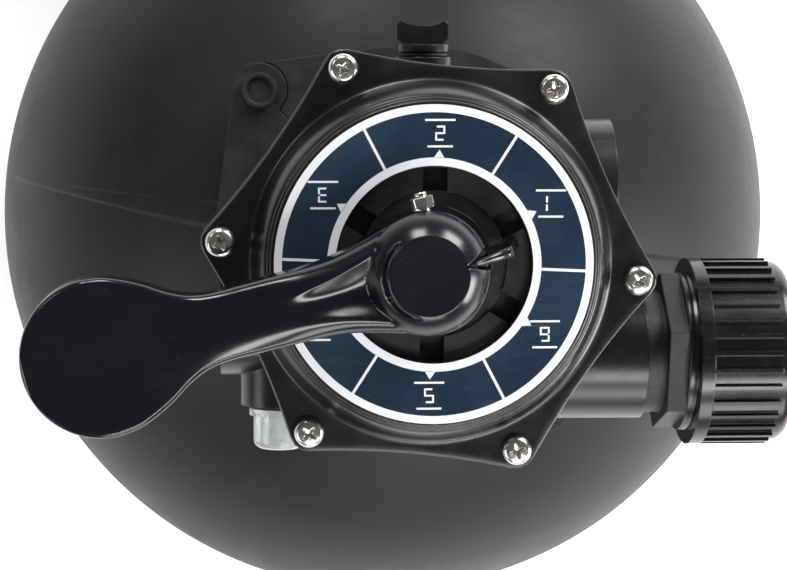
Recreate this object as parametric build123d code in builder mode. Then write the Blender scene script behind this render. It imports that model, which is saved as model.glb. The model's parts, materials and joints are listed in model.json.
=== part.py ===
from build123d import *
import math
import os

# Top-mount sand filter tank with a six-way valve on its neck.
# Millimetres, +Z up, origin on the floor under the tank's axis. +X points to the pump port.

# ---- Tank ----
tank_r = 200.0
wall = 6.0
equator_z = 245.0
neck_bore_r = 57.0
neck_r = 64.0
joint_z = 448.0

# ---- Neck joint ----
flange_r = 76.0
flange_edge = 7.0
flange_slope = 4.0
waist_r = 66.0
clamp_bottom = 434.0
clamp_top = 462.0
clamp_r = 88.0
clamp_gap = 0.4
seam_angle = 135.0
hinge_pin_at = 96.0
knuckle_r = 12.0
hinge_pin_r = 4.0
pin_head_r = 7.75
ear_at = 97.0
closing_bolt_r = 4.0
knob_start = 15.0

# ---- Valve ----
body_r = 72.0
body_wall = 5.0
floor_z = 457.0
chamber_z = 462.0
seat_z = 520.0
lid_z = 537.0
screw_z = 545.0
label_z = 562.0
screw_circle_r = 85.0
screw_angle = -5.4
corner_r = 8.0
mid_edge_r = 79.0
screw_r = 3.0
wall_angle = -15.0
centre_tube_r = 24.0
centre_bore_r = 20.0
rib = 4.0
gasket_thick = 2.5
label_inner_r = 39.3
label_outer_r = 63.6
stem_r = 12.5
run_fit = 0.05

# ---- Ports, all on the same level ----
port_z = 500.0
port_r = 28.4
thread_r = 22.4
thread_depth = 11.0
pump_thread_depth = 20.0
port_bore_r = 17.5
pump_y = -42.8
pump_end = 93.0
return_y = 28.0
return_end = 79.0
waste_y = -23.0
waste_end = -85.0
bleed_y = 82.2
bleed_boss_r = 12.0
glass_x = -60.2
glass_y = -64.0
glass_boss_r = 16.5

# ---- Handle ----
arm_angle = 194.3
hub_r = 24.5
hub_bottom = 558.7
hub_top = 600.0
pivot_z = 583.0
arm_bottom = 573.0
arm_top = 593.0
arm_half = 13.6
paddle_at = 134.5
paddle_r = 31.0
handle_wall = 3.5

# ---- Drain ----
drain_z = 112.0
drain_face = 168.0

# ---- Planes ----
arm_plane = Plane((0, 0, 0), x_dir=Vector(1, 0, 0).rotate(Axis.Z, arm_angle), z_dir=(0, 0, 1))
seam_plane = Plane((0, 0, 0), x_dir=Vector(1, 0, 0).rotate(Axis.Z, seam_angle), z_dir=(0, 0, 1))
pivot_plane = Plane((0, 0, pivot_z), x_dir=arm_plane.x_dir, z_dir=arm_plane.y_dir)
ear_centre = seam_plane.from_local_coords(Vector(-ear_at, 0, (clamp_bottom + clamp_top) / 2))
bolt_plane = Plane(ear_centre, x_dir=(0, 0, 1), z_dir=seam_plane.y_dir * -1)


def polar(radius, angle):
    """A point at a distance and a bearing from the axis."""
    return (radius * math.cos(math.radians(angle)), radius * math.sin(math.radians(angle)))


def ring(plane, centre, outer, inner, length, mode=Mode.ADD):
    """A round bar, or a tube where inner isn't 0, standing on a plane."""
    with BuildSketch(plane) as disc:
        with Locations(centre):
            Circle(outer)
            if inner:
                Circle(inner, mode=Mode.SUBTRACT)
    extrude(disc.sketch, amount=length, mode=mode)


def turned(points, mode=Mode.ADD):
    """A closed section of radius and height points, turned about the tank's axis."""
    with BuildSketch(Plane.XZ) as section:
        with BuildLine():
            Polyline(*points, close=True)
        make_face()
    revolve(section.sketch, axis=Axis.Z, mode=mode)


def o_ring(plane, centre, radius, thickness):
    """A round seal lying flat on a plane."""
    section_origin = plane.from_local_coords(Vector(centre[0] + radius, centre[1], 0))
    section_plane = Plane(section_origin, x_dir=plane.x_dir, z_dir=plane.y_dir)
    with BuildSketch(section_plane) as section:
        Circle(thickness / 2)
    revolve(section.sketch, axis=Axis(plane.from_local_coords(Vector(*centre, 0)), plane.z_dir))


def sector(inner, outer, start, span):
    """A slice of a flat ring, inside a sketch."""
    with BuildLine() as outline:
        CenterArc((0, 0), outer, start, span)
        CenterArc((0, 0), inner, start, span)
        Line(polar(inner, start), polar(outer, start))
        Line(polar(inner, start + span), polar(outer, start + span))
    make_face(outline.edges())


def six_corner_plate(bottom, top):
    """The six-cornered flange: round corners about the screws, joined by edges that curve in."""
    with BuildSketch(Plane.XY.offset(bottom)) as plate:
        with BuildLine():
            for k in range(6):
                angle = screw_angle + 60 * k
                centre = Vector(*polar(screw_circle_r, angle))
                following = Vector(*polar(screw_circle_r, angle + 60))
                leave = centre + Vector(*polar(corner_r, angle + 30))
                arrive = following + Vector(*polar(corner_r, angle + 30))
                enter = centre + Vector(*polar(corner_r, angle - 30))
                ThreePointArc(enter, centre + Vector(*polar(corner_r, angle)), leave)
                ThreePointArc(leave, polar(mid_edge_r, angle + 30), arrive)
        make_face()
    extrude(plate.sketch, amount=top - bottom)


def ball(radius, mode=Mode.ADD):
    """A sphere about the tank's centre."""
    with Locations((0, 0, equator_z)):
        Sphere(radius, mode=mode)


# ---- Tank shell: blow-moulded round vessel with a flanged neck and a drain boss ----
flange_low = joint_z - flange_edge - flange_slope
with BuildPart() as tank_shell:
    ball(tank_r)
    ring(Plane.XY.offset(equator_z), (0, 0), neck_r, 0, joint_z - equator_z)
    turned([
        (0, flange_low),
        (waist_r, flange_low),
        (flange_r, joint_z - flange_edge),
        (flange_r, joint_z),
        (0, joint_z),
    ])
    ring(Plane.XZ.offset(140), (0, drain_z), 24, 0, drain_face - 140)
    ball(tank_r - wall, Mode.SUBTRACT)
    ring(Plane.XY.offset(equator_z), (0, 0), neck_bore_r, 0, joint_z - equator_z, Mode.SUBTRACT)
    ring(Plane.XY.offset(joint_z - 4), (0, 0), 69.2, 64.8, 4, Mode.SUBTRACT)
    ring(Plane.XZ.offset(130), (0, drain_z), 16.05, 0, 45, Mode.SUBTRACT)

# ---- Base stand: flared skirt that cups the tank's bottom, with inner gussets and bolt holes ----
stand_top = 88.0
stand_lip_r = 112.0
foot_inner_r = 116.0
foot_thick = 5.0
floor_hole_circle_r = 130.0
floor_hole_r = 4.5
with BuildPart() as base_stand:
    turned([
        (150, 0),
        (131, stand_top),
        (stand_lip_r, stand_top),
        (stand_lip_r, 66),
        (126, 56),
        (143, foot_thick),
        (foot_inner_r, foot_thick),
        (foot_inner_r, 0),
    ])
    with BuildSketch(Plane.XY):
        with PolarLocations(110, 6, start_angle=30):
            Rectangle(30, 5)
    extrude(amount=stand_top)
    with BuildSketch(Plane.XY):
        with PolarLocations(floor_hole_circle_r, 4, start_angle=45):
            Circle(floor_hole_r)
    extrude(amount=foot_thick, mode=Mode.SUBTRACT)
    ball(tank_r + 0.2, Mode.SUBTRACT)

# ---- Neck seal ----
with BuildPart() as neck_oring:
    o_ring(Plane.XY.offset(joint_z - 2), (0, 0), 67, 4)


def clamp_half(side, own_knuckles, other_knuckles):
    """One half of the neck clamp: a grooved half ring with a hinge knuckle and a bolt ear."""
    height = clamp_top - clamp_bottom
    with BuildSketch(seam_plane.offset(clamp_bottom)) as outline:
        Circle(clamp_r)
        with Locations((hinge_pin_at, 0)):
            Circle(knuckle_r)
        make_hull()
        with Locations((7 - ear_at, 0)):
            RectangleRounded(28, 30, 4)
        with Locations((0, side * (clamp_gap / 2 + 100))):
            Rectangle(300, 200, mode=Mode.INTERSECT)
    extrude(outline.sketch, amount=height)
    slack = 0.35
    lip_r = 69.5
    groove_r = flange_r + clamp_gap
    slope = flange_slope / (flange_r - waist_r)
    reach = (lip_r - waist_r) * slope
    turned([
        (0, clamp_bottom),
        (lip_r, clamp_bottom),
        (lip_r, flange_low + reach - slack),
        (groove_r, joint_z - flange_edge - slack),
        (groove_r, joint_z + flange_edge + slack),
        (lip_r, joint_z + flange_edge + flange_slope - reach + slack),
        (lip_r, clamp_top),
        (0, clamp_top),
    ], Mode.SUBTRACT)
    for low, high in other_knuckles:
        ring(seam_plane.offset(low), (hinge_pin_at, 0), knuckle_r + 0.4, 0, high - low, Mode.SUBTRACT)
    for low, high in own_knuckles:
        ring(seam_plane.offset(low), (hinge_pin_at, 0), knuckle_r, 0, high - low)
    ring(seam_plane.offset(clamp_bottom), (hinge_pin_at, 0), hinge_pin_r + 0.1, 0, height, Mode.SUBTRACT)
    ring(bolt_plane.offset(-20), (0, 0), closing_bolt_r + 0.3, 0, 40, Mode.SUBTRACT)


# ---- Neck clamp: two halves, hinged on a vertical pin and closed by a hand knob ----
knuckle_low = 443.0
knuckle_high = 453.0
with BuildPart() as clamp_half_pin_side:
    clamp_half(
        1,
        [(clamp_bottom, knuckle_low - 0.3), (knuckle_high + 0.3, clamp_top)],
        [(knuckle_low - 0.3, knuckle_high + 0.3)],
    )
with BuildPart() as clamp_half_knob_side:
    clamp_half(
        -1,
        [(knuckle_low, knuckle_high)],
        [(clamp_bottom, knuckle_low), (knuckle_high, clamp_top)],
    )
with BuildPart() as clamp_hinge_pin:
    pin_length = clamp_top - clamp_bottom + 2
    ring(seam_plane.offset(clamp_bottom - 2), (hinge_pin_at, 0), hinge_pin_r, 0, pin_length)
    ring(seam_plane.offset(clamp_top), (hinge_pin_at, 0), pin_head_r, 0, 3)
    ring(seam_plane.offset(clamp_top + 1.6), (hinge_pin_at, 0), pin_head_r - 1.95, 0, 1.4, Mode.SUBTRACT)
with BuildPart() as closing_bolt:
    with BuildSketch(bolt_plane.offset(-20)):
        RegularPolygon(7, 6)
    extrude(amount=5)
    ring(bolt_plane.offset(-15), (0, 0), closing_bolt_r, 0, knob_start + 28)
with BuildPart() as knob_washer:
    ring(bolt_plane.offset(knob_start + 0.2), (0, 0), 8, closing_bolt_r + run_fit, 1.6)
with BuildPart() as clamp_knob:
    with BuildSketch(bolt_plane.offset(knob_start + 2.1)):
        Circle(7.5)
        with PolarLocations(6.5, 5):
            Circle(3)
    extrude(amount=14)
    fillet(clamp_knob.edges().group_by(Axis(ear_centre, bolt_plane.z_dir))[-1], 1.5)
    ring(bolt_plane.offset(knob_start + 2.1), (0, 0), closing_bolt_r + run_fit, 0, 14, Mode.SUBTRACT)

# ---- Valve body: cup with six chambers under the seat, three ports and two bosses ----
ledge_r = 62.0
ledge_z = 514.0
under_ledge_r = 66.0
under_ledge_z = 472.0
throat_r = 60.0
plate_z = 529.0
chamber_wall_length = 43.0
chamber_wall_at = 44.5
feed_start = 25.0
return_start = 50.0
with BuildPart() as valve_body:
    turned([
        (0, joint_z),
        (flange_r, joint_z),
        (flange_r, joint_z + flange_edge),
        (waist_r, joint_z + flange_edge + flange_slope),
        (waist_r, chamber_z + 2),
        (body_r, under_ledge_z - 2),
        (body_r, lid_z),
        (0, lid_z),
    ])
    six_corner_plate(plate_z, lid_z)
    ring(Plane.YZ, (pump_y, port_z), port_r, 0, pump_end)
    ring(Plane.YZ, (return_y, port_z), port_r, 0, return_end)
    ring(Plane.YZ.offset(waste_end), (waste_y, port_z), port_r, 0, -waste_end)
    ring(Plane.XZ.offset(-bleed_y), (0, port_z), bleed_boss_r, 0, 22)
    ring(Plane.XZ.offset(35), (glass_x, port_z), glass_boss_r, 0, -glass_y - 35)
    ring(Plane.XY.offset(seat_z), (0, 0), body_r - body_wall, 0, lid_z - seat_z, Mode.SUBTRACT)
    ring(Plane.XY.offset(ledge_z), (0, 0), ledge_r, centre_tube_r, seat_z - ledge_z, Mode.SUBTRACT)
    ring(Plane.XY.offset(under_ledge_z), (0, 0), under_ledge_r, centre_tube_r, ledge_z - under_ledge_z, Mode.SUBTRACT)
    ring(Plane.XY.offset(chamber_z), (0, 0), throat_r, centre_tube_r, under_ledge_z - chamber_z, Mode.SUBTRACT)
    ring(Plane.XY.offset(joint_z), (0, 0), neck_bore_r + 1, centre_tube_r, floor_z - joint_z, Mode.SUBTRACT)
    with BuildSketch(Plane.XY.offset(chamber_z)):
        with PolarLocations(chamber_wall_at, 6, start_angle=wall_angle):
            Rectangle(chamber_wall_length, rib)
    extrude(amount=seat_z - chamber_z)
    ring(Plane.XY.offset(joint_z), (0, 0), centre_bore_r, 0, seat_z - joint_z, Mode.SUBTRACT)
    with BuildSketch(Plane.XY.offset(floor_z)):
        sector(28, 56, wall_angle + 65, 50)
    extrude(amount=chamber_z - floor_z, mode=Mode.SUBTRACT)
    # Port bores: a threaded mouth, then a narrower way into the chamber
    for start, y, end, depth in (
        (feed_start, pump_y, pump_end, pump_thread_depth),
        (return_start, return_y, return_end, thread_depth),
    ):
        ring(Plane.YZ.offset(start), (y, port_z), port_bore_r, 0, end - start, Mode.SUBTRACT)
        ring(Plane.YZ.offset(end - depth), (y, port_z), thread_r, 0, depth, Mode.SUBTRACT)
    ring(Plane.YZ.offset(waste_end), (waste_y, port_z), port_bore_r, 0, -return_start - waste_end, Mode.SUBTRACT)
    ring(Plane.YZ.offset(waste_end), (waste_y, port_z), thread_r, 0, thread_depth, Mode.SUBTRACT)
    ring(Plane.XZ.offset(-bleed_y), (0, port_z), 8.1, 0, 22, Mode.SUBTRACT)
    ring(Plane.XZ.offset(30), (glass_x, port_z), 10.2, 0, -glass_y - 30, Mode.SUBTRACT)
    with BuildSketch(Plane.XY.offset(plate_z)):
        with PolarLocations(screw_circle_r, 6, start_angle=screw_angle):
            Circle(screw_r + 0.2)
    extrude(amount=lid_z - plate_z, mode=Mode.SUBTRACT)
    ring(Plane.XY.offset(lid_z - 3), (0, 0), 71.5, 68.5, 3, Mode.SUBTRACT)

# ---- Valve lid: six-cornered flange with a low dome and an indexing ring ----
index_inner_r = 29.4
index_outer_r = 38.6
index_z = 557.5
notch_z = 552.5
notch_angle = 29.0
notch_width = 9.8
recess_z = 556.0
boss_bottom = 545.0
spring_top = 549.0
with BuildPart() as valve_lid:
    six_corner_plate(lid_z, screw_z)
    turned([
        (0, lid_z),
        (body_r, lid_z),
        (72, screw_z),
        (70, 557),
        (66, label_z),
        (0, label_z),
    ])
    turned([
        (0, lid_z),
        (66.5, lid_z),
        (66.5, 548),
        (60, 556),
        (42, 556),
        (38, spring_top),
        (18, spring_top),
        (18, boss_bottom),
        (0, boss_bottom),
    ], Mode.SUBTRACT)
    ring(Plane.XY.offset(index_z), (0, 0), index_outer_r, 0, label_z - index_z, Mode.SUBTRACT)
    ring(Plane.XY.offset(recess_z), (0, 0), index_inner_r, 0, index_z - recess_z, Mode.SUBTRACT)
    with BuildSketch(Plane.XY.offset(notch_z)):
        with PolarLocations((index_inner_r + index_outer_r) / 2, 6, start_angle=notch_angle):
            Rectangle(index_outer_r - index_inner_r, notch_width)
    extrude(amount=index_z - notch_z, mode=Mode.SUBTRACT)
    ring(Plane.XY.offset(boss_bottom), (0, 0), stem_r + run_fit, 0, recess_z - boss_bottom, Mode.SUBTRACT)
    with BuildSketch(Plane.XY.offset(lid_z)):
        with PolarLocations(screw_circle_r, 6, start_angle=screw_angle):
            Circle(screw_r + 0.2)
    extrude(amount=screw_z - lid_z, mode=Mode.SUBTRACT)
with BuildPart() as lid_oring:
    o_ring(Plane.XY.offset(lid_z - 1.5), (0, 0), 70, 3)
with BuildPart() as dial_label:
    ring(Plane.XY.offset(label_z), (0, 0), label_outer_r, label_inner_r, 0.4)

# ---- Lid fasteners: cross-recess pan heads and hexagon nuts ----
head_r = 6.2
head_height = 4.2
recess_depth = 2.4
screw_bottom = 523.0
nut_thick = 5.0
with BuildPart() as lid_screws:
    with BuildSketch(Plane.XY.offset(screw_z)):
        with PolarLocations(screw_circle_r, 6, start_angle=screw_angle):
            Circle(head_r)
    extrude(amount=head_height)
    fillet(lid_screws.edges().group_by(Axis.Z)[-1], 2.2)
    with BuildSketch(Plane.XY.offset(screw_z + head_height - recess_depth)):
        with PolarLocations(screw_circle_r, 6, start_angle=screw_angle):
            Rectangle(6.4, 1.4)
            Rectangle(1.4, 6.4)
    extrude(amount=recess_depth, mode=Mode.SUBTRACT)
    with BuildSketch(Plane.XY.offset(screw_bottom)):
        with PolarLocations(screw_circle_r, 6, start_angle=screw_angle):
            Circle(screw_r)
    extrude(amount=screw_z - screw_bottom)
with BuildPart() as lid_nuts:
    with BuildSketch(Plane.XY.offset(plate_z - nut_thick)):
        with PolarLocations(screw_circle_r, 6, start_angle=screw_angle):
            RegularPolygon(5.7, 6)
            Circle(screw_r, mode=Mode.SUBTRACT)
    extrude(amount=nut_thick)

# ---- Seat gasket: one flat rubber spider on the chamber walls ----
with BuildPart() as spider_gasket:
    with BuildSketch(Plane.XY.offset(seat_z)):
        Circle(under_ledge_r)
        Circle(ledge_r, mode=Mode.SUBTRACT)
        with PolarLocations(43.5, 6, start_angle=wall_angle):
            Rectangle(41, rib)
        with Locations((0, 0)):
            Circle(centre_tube_r)
            Circle(centre_bore_r, mode=Mode.SUBTRACT)
    extrude(amount=gasket_thick)

# ---- Rotor: flow disc with a waste pocket below, a through port and a spring seat ----
rotor_bottom = seat_z + gasket_thick + 0.3
rotor_top = 536.8
rotor_r = 64.5
pocket_top = 527.0
spring_seat = 531.0
with BuildPart() as rotor:
    ring(Plane.XY.offset(rotor_bottom), (0, 0), rotor_r, 0, rotor_top - rotor_bottom)
    ring(Plane.XY.offset(spring_seat), (0, 0), 26, 16, rotor_top - spring_seat, Mode.SUBTRACT)
    ring(Plane.XY.offset(rotor_top), (0, 0), 16, 0, 2.2)
    ring(Plane.XY.offset(rotor_bottom), (0, 0), centre_bore_r, 0, pocket_top - rotor_bottom, Mode.SUBTRACT)
    with BuildSketch(Plane.XY.offset(rotor_bottom)):
        sector(19, 58, 120, 50)
    extrude(amount=pocket_top - rotor_bottom, mode=Mode.SUBTRACT)
    with BuildSketch(Plane.XY.offset(rotor_bottom)):
        sector(30, 58, 300, 50)
    extrude(amount=rotor_top - rotor_bottom, mode=Mode.SUBTRACT)
    ring(Plane.XY.offset(pocket_top), (0, 0), stem_r, 0, 15, Mode.SUBTRACT)

# ---- Stem: turns the rotor and lifts it when the handle is pressed ----
stem_top = 590.0
pivot_r = 4.0
pivot_head_start = 18.5
groove_r = 10.5
flats_z = 555.6
stem_seals = (548.5, 552.5)
with BuildPart() as stem:
    ring(Plane.XY.offset(pocket_top), (0, 0), stem_r, 0, stem_top - pocket_top)
    for flat in (1, -1):
        with BuildSketch(arm_plane.offset(flats_z)):
            with Locations((0, flat * 13)):
                Rectangle(30, 10)
        extrude(amount=stem_top - flats_z, mode=Mode.SUBTRACT)
    for seal_z in stem_seals:
        ring(Plane.XY.offset(seal_z - 1.1), (0, 0), stem_r + 1, groove_r, 2.2, Mode.SUBTRACT)
    ring(pivot_plane.offset(-20), (0, 0), pivot_r, 0, 40, Mode.SUBTRACT)
with BuildPart() as stem_orings:
    for seal_z in stem_seals:
        o_ring(Plane.XY.offset(seal_z), (0, 0), groove_r + 1, 2)

# ---- Spring between the rotor and the lid ----
wire_r = 1.25
spring_r = 20.0
with BuildPart() as rotor_spring:
    spring_low = spring_seat + wire_r + 0.1
    spring_height = spring_top - spring_seat - 2 * wire_r - 0.4
    with BuildLine():
        coil = Helix(pitch=spring_height / 3.5, height=spring_height, radius=spring_r, center=(0, 0, spring_low))
    with BuildSketch(Plane(coil @ 0, z_dir=coil % 0)):
        Circle(wire_r)
    sweep(path=coil)

# ---- Slip washer under the handle's hub ----
with BuildPart() as slip_washer:
    ring(Plane.XY.offset(recess_z + 0.3), (0, 0), 23.5, 14, 2)

# ---- Handle: hollow moulded hub, neck and paddle, with a pointer tooth opposite the arm ----
with BuildPart() as arm:
    with BuildSketch(arm_plane.offset(arm_bottom)) as arm_outline:
        with Locations((paddle_at / 2, 0)):
            Rectangle(paddle_at, 2 * arm_half)
        Circle(hub_r - 1)
        with Locations((paddle_at, 0)):
            Circle(paddle_r)
        fillet(arm_outline.vertices().sort_by(Axis.X)[2:4], 22)
        fillet(arm_outline.vertices().sort_by(Axis.X)[:2], 20)
    extrude(amount=arm_top - arm_bottom)
    fillet(arm.edges().group_by(Axis.Z)[-1], 4)
    with BuildSketch(arm_plane.offset(arm_bottom)):
        add(arm_outline.sketch_local)
        offset(amount=-handle_wall)
        Circle(hub_r + 2, mode=Mode.SUBTRACT)
        with Locations((paddle_at / 2, 0)):
            Rectangle(paddle_at, 3, mode=Mode.SUBTRACT)
    extrude(amount=arm_top - arm_bottom - handle_wall, mode=Mode.SUBTRACT)
with BuildPart() as hub:
    ring(Plane.XY.offset(hub_bottom), (0, 0), hub_r, 0, hub_top - hub_bottom)
    fillet(hub.edges().group_by(Axis.Z)[-1], 8)
with BuildPart() as handle:
    add(arm.part)
    add(hub.part)
    with BuildSketch(arm_plane.offset(562.5)):
        with Locations((-27, 0)):
            RectangleRounded(15, 5, 1.5)
    extrude(amount=24)
    with BuildSketch(arm_plane.offset(558.1)):
        with Locations((-32.5, 0)):
            Rectangle(4, 5)
    extrude(amount=6)
    with BuildSketch(arm_plane.offset(hub_bottom)):
        Rectangle(37, 16.6)
    extrude(amount=stem_top + 4 - hub_bottom, mode=Mode.SUBTRACT)
    ring(pivot_plane.offset(-40), (0, 0), pivot_r + run_fit, 0, 80, Mode.SUBTRACT)
    ring(pivot_plane.offset(pivot_head_start - 0.2), (0, 0), 6.9, 0, 12, Mode.SUBTRACT)

# ---- Pivot bolt through the hub and the stem: its head in a pocket of the hub, its nut outside ----
with BuildPart() as pivot_bolt:
    ring(pivot_plane.offset(-31), (0, 0), pivot_r - 0.01, 0, pivot_head_start + 31)
    with BuildSketch(pivot_plane.offset(pivot_head_start)):
        RegularPolygon(6.5, 6)
    extrude(amount=4)
with BuildPart() as pivot_nut:
    with BuildSketch(pivot_plane.offset(-29.8)):
        RegularPolygon(6.5, 6)
        Circle(pivot_r, mode=Mode.SUBTRACT)
    extrude(amount=5)

# ---- Air-bleed wing plug ----
bleed_plane = Plane((0, bleed_y, port_z), x_dir=(1, 0, 0), z_dir=(0, 1, 0))
wing_half = 10.7
wing_low = 4.8
wing_high = 15.4
with BuildPart() as bleed_plug:
    ring(bleed_plane.offset(-16), (0, 0), 8, 0, 18.2)
    ring(bleed_plane.offset(2.2), (0, 0), 11, 0, 3)
    with BuildSketch(Plane.XY.offset(port_z - 2.3)):
        with BuildLine():
            Polyline(
                (wing_half - 1.5, bleed_y + wing_high),
                (wing_half, bleed_y + wing_high - 1.5),
                (wing_half, bleed_y + wing_low + 3),
                (wing_half - 3, bleed_y + wing_low),
                (3 - wing_half, bleed_y + wing_low),
                (-wing_half, bleed_y + wing_low + 3),
                (-wing_half, bleed_y + wing_high - 1.5),
                (1.5 - wing_half, bleed_y + wing_high),
            )
            ThreePointArc(
                (1.5 - wing_half, bleed_y + wing_high),
                (0, bleed_y + wing_high - 2.4),
                (wing_half - 1.5, bleed_y + wing_high),
            )
        make_face()
    extrude(amount=4.6)
with BuildPart() as bleed_oring:
    o_ring(bleed_plane.offset(1), (0, 0), 9.3, 1.8)

# ---- Sight glass on the waste port ----
glass_plane = Plane((glass_x, glass_y, port_z), x_dir=(1, 0, 0), z_dir=(0, -1, 0))
with BuildPart() as sight_glass:
    ring(glass_plane.offset(-12), (0, 0), 10.1, 0, 14)
    ring(glass_plane.offset(1.6), (0, 0), 13, 0, 3)
    ring(glass_plane.offset(2), (0, 0), 11.2, 0, 17)
    fillet(sight_glass.edges().group_by(Axis.Y)[0], 3.5)
    ring(glass_plane.offset(-12), (0, 0), 8.6, 0, 28, Mode.SUBTRACT)
with BuildPart() as sight_glass_oring:
    o_ring(glass_plane.offset(0.8), (0, 0), 11.3, 1.6)

# ---- Pump union: adaptor, seals, tailpiece, slip ring and ribbed nut ----
union_bore_r = 18.0
spigot_length = 19.0
socket_r = 24.15
socket_depth = 25.0
male_thread_r = 33.5
collar_start = 101.0
collar_end = 109.0
union_face = 132.0
flange_end = 140.0
nut_mouth = 113.0
nut_end = 154.0
nut_r = 39.8
pipe_end = 196.0
pump_axis = (pump_y, port_z)
with BuildPart() as union_adaptor:
    ring(Plane.YZ.offset(pump_end - spigot_length), pump_axis, thread_r - 0.1, 0, spigot_length)
    ring(Plane.YZ.offset(pump_end), pump_axis, 26, 0, collar_start - pump_end)
    with BuildSketch(Plane.YZ.offset(collar_start)):
        with Locations(pump_axis):
            RegularPolygon(34.6, 6, rotation=10)
    extrude(amount=collar_end - collar_start)
    ring(Plane.YZ.offset(collar_end), pump_axis, male_thread_r, 0, union_face - collar_end)
    ring(Plane.YZ.offset(union_face - 2.4), pump_axis, 26.6, 23.4, 2.4, Mode.SUBTRACT)
    ring(Plane.YZ.offset(pump_end - spigot_length), pump_axis, union_bore_r, 0, 70, Mode.SUBTRACT)
with BuildPart() as union_oring:
    o_ring(Plane.YZ.offset(union_face - 1), pump_axis, 25, 2.6)
with BuildPart() as union_tailpiece:
    ring(Plane.YZ.offset(union_face + 0.3), pump_axis, 32.5, union_bore_r, flange_end - union_face)
    ring(Plane.YZ.offset(flange_end), pump_axis, port_r, union_bore_r, pipe_end - flange_end)
    ring(Plane.YZ.offset(pipe_end - socket_depth), pump_axis, socket_r, 0, socket_depth, Mode.SUBTRACT)
with BuildPart() as union_slip_ring:
    ring(Plane.YZ.offset(flange_end + 0.6), pump_axis, 33, 29, 1.5)
with BuildPart() as union_nut:
    ring(Plane.YZ.offset(nut_mouth), pump_axis, nut_r - 1.6, 0, nut_end - nut_mouth)
    fillet(union_nut.edges().group_by(Axis.X)[-1], 5)
    ring(Plane.YZ.offset(nut_mouth), pump_axis, nut_r, 0, 5.5)
    with BuildSketch(Plane.YZ.offset(nut_mouth + 5)):
        with Locations(pump_axis):
            with PolarLocations(nut_r - 1.6, 34):
                Rectangle(3.2, 1.8)
    extrude(amount=29)
    ring(Plane.YZ.offset(nut_mouth), pump_axis, male_thread_r + 0.5, 0, flange_end + 2.4 - nut_mouth, Mode.SUBTRACT)
    ring(Plane.YZ.offset(nut_mouth), pump_axis, port_r + 0.4, 0, nut_end - nut_mouth, Mode.SUBTRACT)

# ---- Drain: spigot, strainer, gasket and cap ----
drain_axis = (0, drain_z)
spigot_start = 146.0
spigot_r = 16.0
spigot_bore_r = 11.0
spigot_end = 186.0
cap_start = 172.0
cap_end = 194.0
with BuildPart() as drain_spigot:
    ring(Plane.XZ.offset(spigot_start), drain_axis, spigot_r, 0, spigot_end - spigot_start)
    ring(Plane.XZ.offset(drain_face), drain_axis, 22, 0, 3)
    ring(Plane.XZ.offset(spigot_start), drain_axis, spigot_bore_r, 0, spigot_end - spigot_start, Mode.SUBTRACT)
with BuildPart() as drain_strainer:
    ring(Plane.XZ.offset(112), drain_axis, 10.9, 9.2, 60)
    ring(Plane.XZ.offset(110), drain_axis, 10.9, 0, 2)
    with BuildSketch(Plane.YZ.offset(-12)):
        with Locations((-130, drain_z)):
            with GridLocations(3, 1, 9, 1):
                Rectangle(1, 14)
    extrude(amount=24, mode=Mode.SUBTRACT)
with BuildPart() as drain_gasket:
    ring(Plane.XZ.offset(spigot_end + 0.3), drain_axis, spigot_r - 0.5, 0, 3)
with BuildPart() as drain_cap:
    ring(Plane.XZ.offset(cap_start), drain_axis, 20, 0, cap_end - cap_start)
    fillet(drain_cap.edges().group_by(Axis.Y)[0], 2)
    with BuildSketch(Plane.XZ.offset(cap_start + 1)):
        with Locations(drain_axis):
            with PolarLocations(19.5, 12):
                Rectangle(3.4, 3)
    extrude(amount=17)
    ring(Plane.XZ.offset(cap_start), drain_axis, spigot_r + 0.4, 0, 17.6, Mode.SUBTRACT)

# ---- Inside: diffuser, standpipe, hub, laterals, air tube and sand ----
lateral_z = 92.0
diffuser_z = 400.0
diffuser_r = 54.0
hub_half = 13.0
lateral_r = 9.0
hub_radius = 36.0
lateral_start = 28.0
lateral_end = 104.0
pipe_r = 19.9
air_tube_at = (28, 6)
sand_top = 330.0
with BuildPart() as diffuser:
    ring(Plane.XY.offset(diffuser_z), (0, 0), diffuser_r, diffuser_r - 3, floor_z - diffuser_z)
    ring(Plane.XY.offset(diffuser_z), (0, 0), diffuser_r, pipe_r + 0.3, 3)
    with BuildSketch(Plane.XY.offset(diffuser_z + 7)):
        with PolarLocations(52.5, 16):
            Rectangle(6, 7)
    extrude(amount=24, mode=Mode.SUBTRACT)
with BuildPart() as standpipe:
    ring(Plane.XY.offset(lateral_z), (0, 0), pipe_r, 17, 478 - lateral_z)
with BuildPart() as lateral_hub:
    ring(Plane.XY.offset(lateral_z - hub_half), (0, 0), hub_radius, 0, 2 * hub_half)
    ring(Plane.XY.offset(lateral_z), (0, 0), pipe_r + 0.1, 0, hub_half, Mode.SUBTRACT)
    ring(Plane.XY.offset(lateral_z - 9), (0, 0), 16, 0, 9, Mode.SUBTRACT)
    for turn in range(8):
        spoke = Plane((0, 0, lateral_z), z_dir=(*polar(1, 45 * turn), 0))
        ring(spoke.offset(lateral_start), (0, 0), lateral_r + 0.1, 0, 10, Mode.SUBTRACT)
        ring(spoke.offset(12), (0, 0), 5, 0, 20, Mode.SUBTRACT)
laterals = []
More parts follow.
